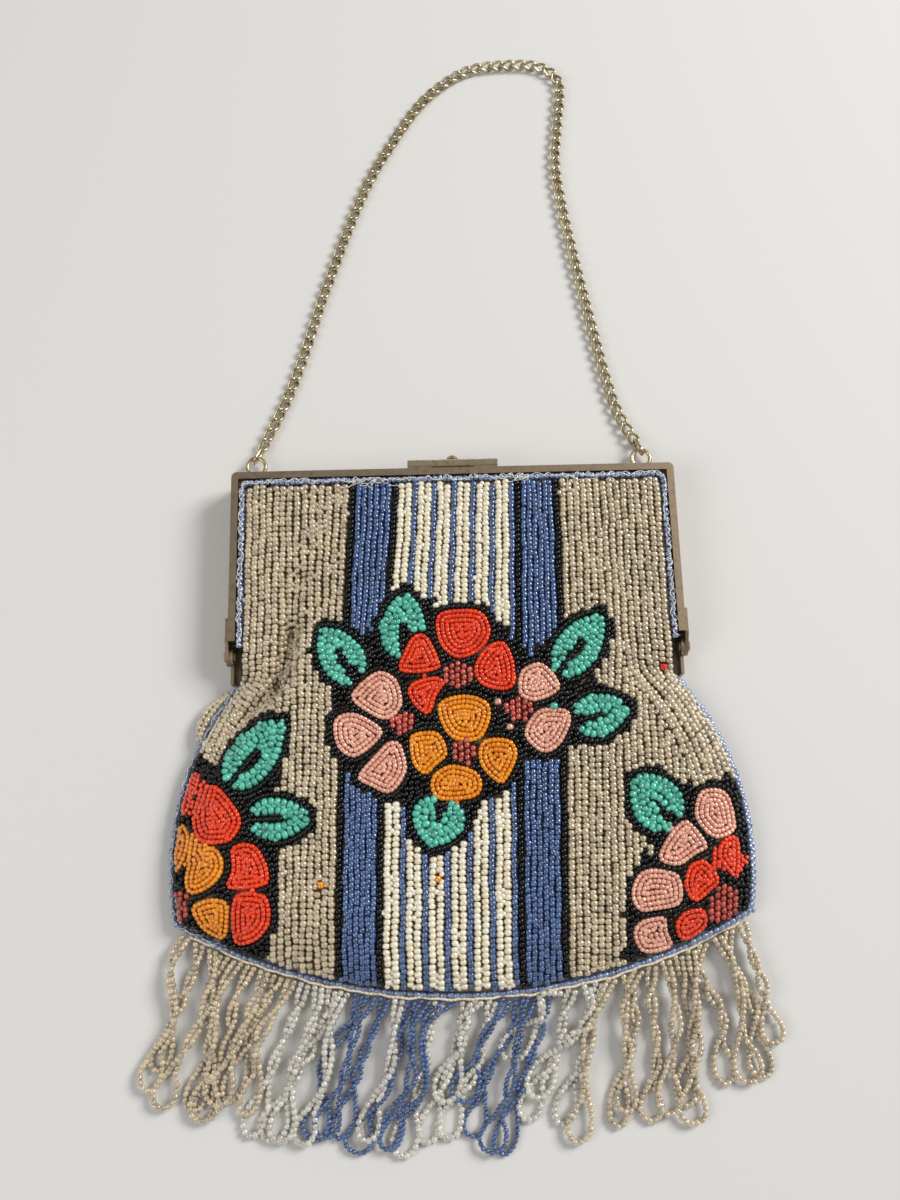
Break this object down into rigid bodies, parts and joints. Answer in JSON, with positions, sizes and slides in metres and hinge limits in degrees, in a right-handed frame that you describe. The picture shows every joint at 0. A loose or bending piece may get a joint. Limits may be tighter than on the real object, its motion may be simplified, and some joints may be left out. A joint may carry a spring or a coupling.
{
  "type": "beaded purse",
  "caption": "Flat beaded purse with a hinged metal frame, a barrel clasp, a curb chain handle and a looped bead fringe.",
  "frame": {"origin": "middle of the frame's hinge line, dropped onto the surface the back rests on", "axes": "+X across the frame, +Y from the hinge line towards the clasp and chain, +Z out of the front"},
  "size_m": [0.149, 0.2967, 0.0103],
  "materials": {
    "frame_metal": "tarnished nickel silver, brown in the recesses",
    "clasp_metal": "tarnished nickel silver, brighter where it is handled",
    "chain_metal": "pale worn nickel plate",
    "beadwork": "rows of glass seed beads sewn on cloth, glossy",
    "edging_beads": "one row of blue glass beads, glossy",
    "fringe_beads": "loops of glass beads on thread, glossy",
    "lining_cloth": "thin plain cotton lining, matte"
  },
  "bodies": {
    "root": {"back_frame_half": "frame_metal", "hinge_rivet_left": "frame_metal", "hinge_rivet_right": "frame_metal", "catch_nub": "frame_metal", "eyelet_left": "frame_metal", "eyelet_right": "frame_metal", "back_panel": "beadwork", "lining_back": "lining_cloth", "front_panel_lower": "beadwork", "lining_front_lower": "lining_cloth", "seam_edging": "edging_beads", "frame_edging_back": "edging_beads", "fringe": "fringe_beads"},
    "front_half": {"front_frame_half": "frame_metal", "clasp_barrel_left": "clasp_metal", "clasp_barrel_right": "clasp_metal", "latch_pin": "clasp_metal", "front_panel_upper": "beadwork", "lining_front_upper": "lining_cloth", "frame_edging_front": "edging_beads"},
    "latch": {"latch_plate": "clasp_metal", "latch_knob": "clasp_metal"},
    "handle": {"connector_ring_left": "chain_metal", "connector_ring_right": "chain_metal", "chain_links": "chain_metal"}
  },
  "joints": [
    {"name": "frame_open", "type": "hinge", "parent": "root", "child": "front_half", "pos_m": [0, 0, 0.005], "axis": [1, 0, 0], "range_deg": [0, 75]},
    {"name": "latch_lift", "type": "hinge", "parent": "front_half", "child": "latch", "pos_m": [0, 0.0491, 0.0086], "axis": [1, 0, 0], "range_deg": [0, 60]},
    {"name": "handle_swing", "type": "hinge", "parent": "root", "child": "handle", "pos_m": [0, 0.0543, 0.00245], "axis": [1, 0, 0], "range_deg": [0, 110]}
  ]
}
